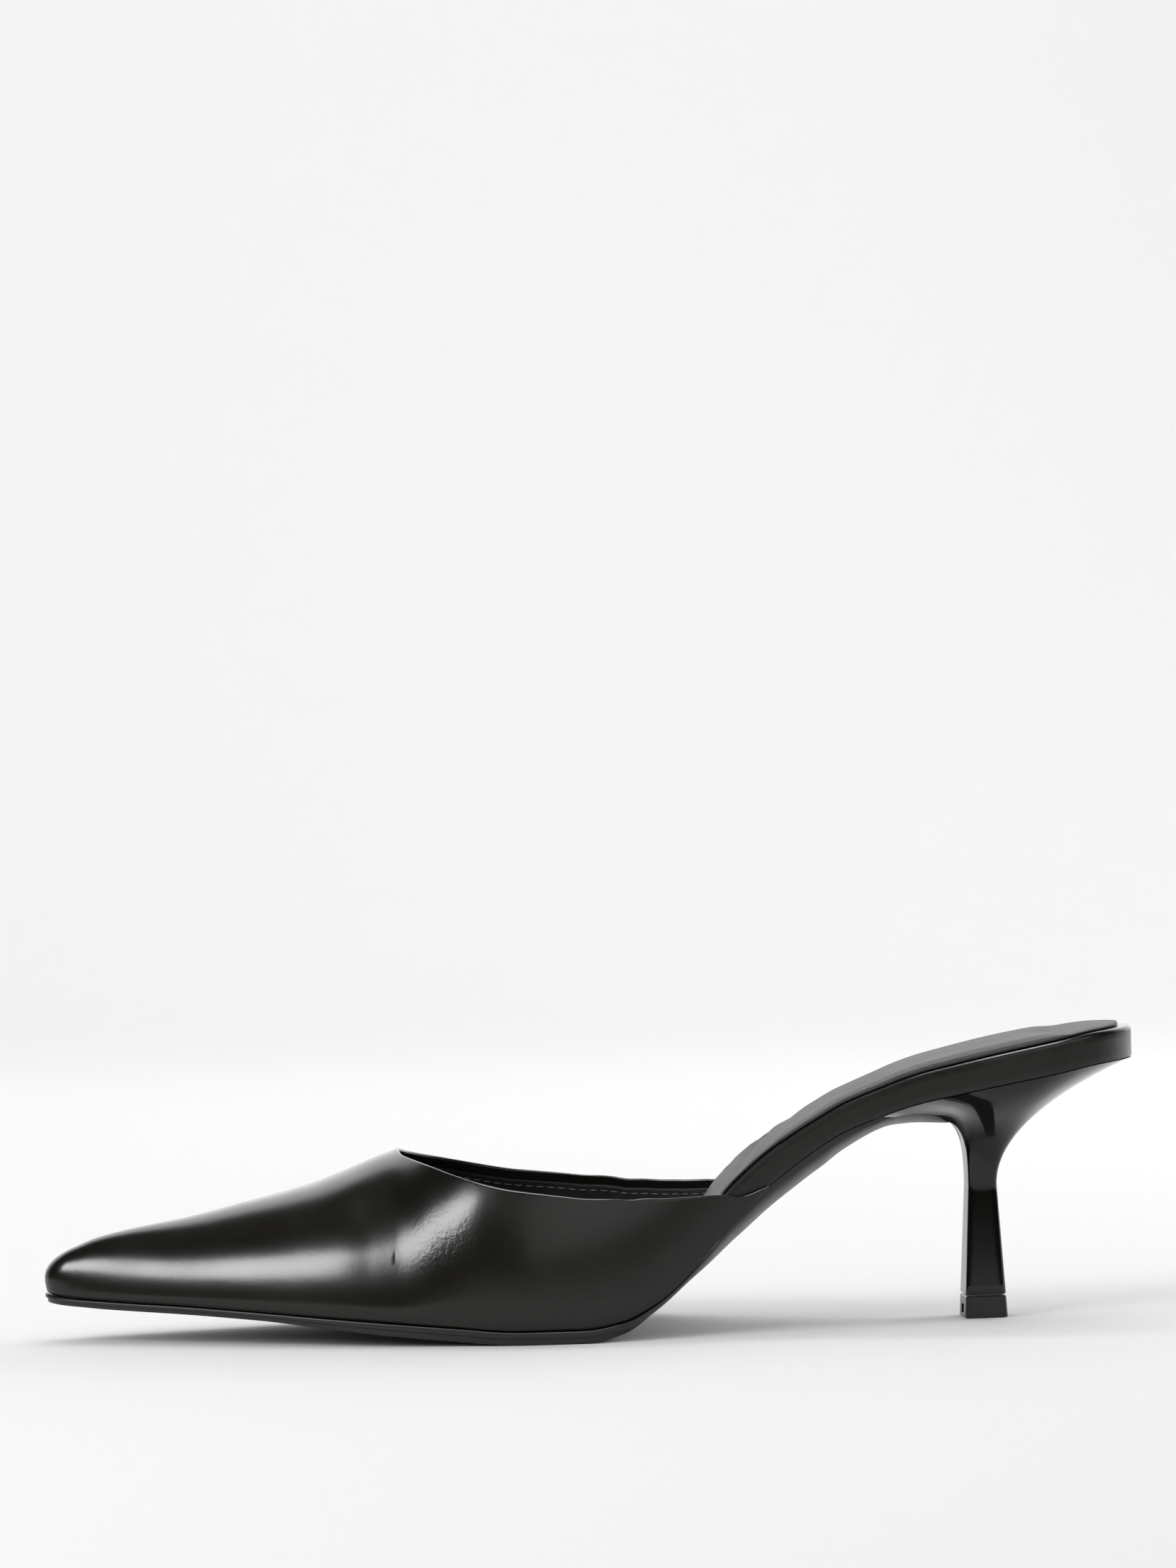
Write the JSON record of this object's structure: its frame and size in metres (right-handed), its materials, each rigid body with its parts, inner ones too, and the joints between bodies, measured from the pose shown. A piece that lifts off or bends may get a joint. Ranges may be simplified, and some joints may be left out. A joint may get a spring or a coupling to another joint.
{
  "type": "kitten heel mule",
  "caption": "Backless pointed shoe with a smooth lasted vamp, a covered board that sweeps up over a slim flared heel, a padded sock and an open collar",
  "frame": {"origin": "middle of the shoe's bounding box on the floor that it stands on", "axes": "toe to -X and heel to +X, outer side to -Y and inner side to +Y, up to +Z"},
  "size_m": [0.2466, 0.0774, 0.0657],
  "materials": {
    "upper_leather": "smooth black calf leather with a high shine",
    "rand_leather": "thin smooth black leather pulled tight over the board's edge",
    "sock_leather": "fine-grained matte black lining leather over foam",
    "sole_rubber": "black resin rubber with a satin waist",
    "heel_lacquer": "moulded ABS with a black mirror lacquer",
    "tip_plastic": "satin black moulded polyurethane"
  },
  "bodies": {
    "root": {"upper": "upper_leather", "insole_board": "rand_leather", "sock": "sock_leather", "outsole": "sole_rubber", "heel": "heel_lacquer", "heel_tip": "tip_plastic"}
  },
  "joints": []
}
